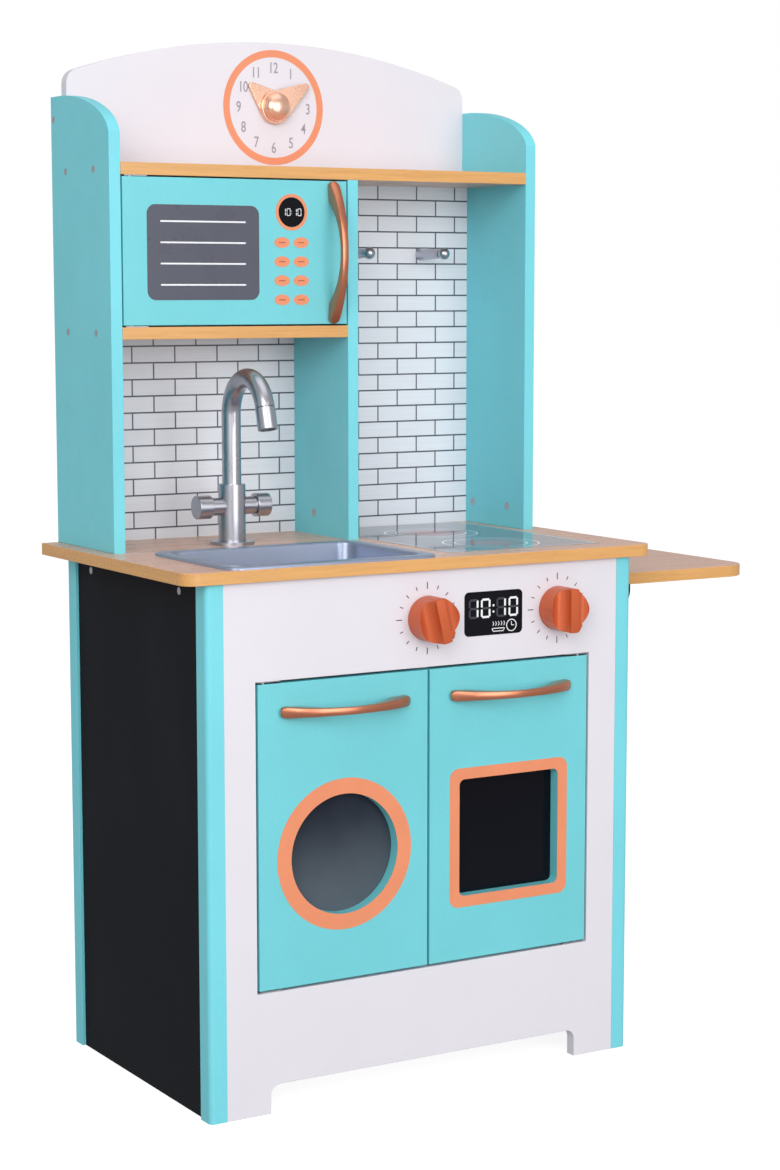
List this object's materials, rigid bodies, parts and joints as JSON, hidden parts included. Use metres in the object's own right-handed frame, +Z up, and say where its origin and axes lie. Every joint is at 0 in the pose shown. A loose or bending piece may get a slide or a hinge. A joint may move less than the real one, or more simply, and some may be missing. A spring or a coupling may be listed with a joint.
{
  "type": "toy kitchen",
  "caption": "Free-standing play kitchen: cabinet with two hinged doors, lift-out sink, mixer tap and hob, with a hutch, microwave and clock above.",
  "frame": {"origin": "on the floor, in the middle of the cabinet's back face", "axes": "+X to the right of a child at the worktop, +Y back towards the wall, +Z up"},
  "size_m": [0.701, 0.3524, 1.0325],
  "materials": {
    "white_board": "white satin foil on fibreboard",
    "chalkboard": "matt black chalkboard paint on fibreboard",
    "aqua_board": "aqua satin paint on fibreboard",
    "aqua_door": "aqua satin paint on fibreboard",
    "inner_board": "white foil on fibreboard",
    "beech_board": "beech print under clear lacquer, warm edge band",
    "tile_print": "printed brick tiles on thin board",
    "satin_silver": "satin silver plated plastic",
    "sink_plastic": "silver grey moulded plastic",
    "steel": "zinc plated steel",
    "catch_plastic": "white plastic with a magnet",
    "copper": "copper metallic lacquer",
    "copper_plastic": "copper orange metallic lacquer",
    "clear_pane": "smoked clear acrylic"
  },
  "bodies": {
    "cabinet": {"front_panel": "white_board", "crown_board": "white_board", "left_side_panel": "chalkboard", "right_side_panel": "chalkboard", "shelf_bracket": "chalkboard", "front_left_post": "aqua_board", "front_right_post": "aqua_board", "rear_left_post": "aqua_board", "rear_right_post": "aqua_board", "hutch_left_panel": "aqua_board", "hutch_right_panel": "aqua_board", "divider_panel": "aqua_board", "floor_panel": "inner_board", "centre_partition": "inner_board", "cabinet_back_panel": "inner_board", "worktop_cleats": "inner_board", "worktop": "beech_board", "side_shelf": "beech_board", "microwave_shelf": "beech_board", "top_shelf": "beech_board", "tile_board": "tile_print", "tap_body": "satin_silver", "tap_nut": "satin_silver", "utensil_hooks": "satin_silver", "washer_hinge_pins": "steel", "oven_hinge_pins": "steel", "microwave_hinge_pins": "steel", "panel_screws": "steel", "cam_locks": "steel", "clock_pin": "steel", "magnet_catches": "catch_plastic", "clock_cap": "copper"},
    "washer_door": {"washer_door": "aqua_door", "washer_window": "clear_pane", "washer_handle": "copper", "washer_handle_screws": "steel", "washer_door_plates": "steel", "washer_strike_plate": "steel"},
    "oven_door": {"oven_door": "aqua_door", "oven_window": "clear_pane", "oven_handle": "copper", "oven_handle_screws": "steel", "oven_door_plates": "steel", "oven_strike_plate": "steel"},
    "microwave_door": {"microwave_door": "aqua_door", "microwave_handle": "copper", "microwave_handle_screws": "steel", "microwave_door_plates": "steel", "microwave_strike_plate": "steel"},
    "left_knob": {"left_knob": "copper_plastic", "left_knob_screw": "steel"},
    "tap_left_turn": {"tap_left_turn": "satin_silver"},
    "right_knob": {"right_knob": "copper_plastic", "right_knob_screw": "steel"},
    "tap_right_turn": {"tap_right_turn": "satin_silver"},
    "hour_hand": {"hour_hand": "copper"},
    "minute_hand": {"minute_hand": "copper"},
    "tap_spout": {"tap_spout": "satin_silver", "tap_aerator": "satin_silver"},
    "sink_basin": {"sink_basin": "sink_plastic"}
  },
  "joints": [
    {"name": "washer_door_hinge", "type": "hinge", "parent": "cabinet", "child": "washer_door", "pos_m": [-0.1791, -0.303, 0.1185], "axis": [0, 0, -1], "range_deg": [0, 110]},
    {"name": "oven_door_hinge", "type": "hinge", "parent": "cabinet", "child": "oven_door", "pos_m": [0.1791, -0.303, 0.1185], "axis": [0, 0, 1], "range_deg": [0, 110]},
    {"name": "microwave_door_hinge", "type": "hinge", "parent": "cabinet", "child": "microwave_door", "pos_m": [-0.2225, -0.1195, 0.7423], "axis": [0, 0, -1], "range_deg": [0, 110]},
    {"name": "left_knob_turn", "type": "hinge", "parent": "cabinet", "child": "left_knob", "pos_m": [-0.002, -0.309, 0.4644], "axis": [0, -1, 0], "continuous": true},
    {"name": "right_knob_turn", "type": "hinge", "parent": "cabinet", "child": "right_knob", "pos_m": [0.15, -0.309, 0.4644], "axis": [0, -1, 0], "continuous": true},
    {"name": "hour_hand_turn", "type": "hinge", "parent": "cabinet", "child": "hour_hand", "pos_m": [0, 0, 0.9665], "axis": [0, -1, 0], "continuous": true},
    {"name": "minute_hand_turn", "type": "hinge", "parent": "cabinet", "child": "minute_hand", "pos_m": [0, 0, 0.9665], "axis": [0, -1, 0], "continuous": true},
    {"name": "spout_swivel", "type": "hinge", "parent": "cabinet", "child": "tap_spout", "pos_m": [-0.1035, -0.0982, 0.584], "axis": [0, 0, 1], "range_deg": [-90, 90]},
    {"name": "left_tap_turn", "type": "hinge", "parent": "cabinet", "child": "tap_left_turn", "pos_m": [-0.1035, -0.0982, 0.5618], "axis": [1, 0, 0], "range_deg": [-90, 90]},
    {"name": "right_tap_turn", "type": "hinge", "parent": "cabinet", "child": "tap_right_turn", "pos_m": [-0.1035, -0.0982, 0.5618], "axis": [1, 0, 0], "range_deg": [-90, 90]},
    {"name": "sink_lift", "type": "slide", "parent": "cabinet", "child": "sink_basin", "axis": [0, 0, 1], "range_m": [0, 0.08]}
  ]
}
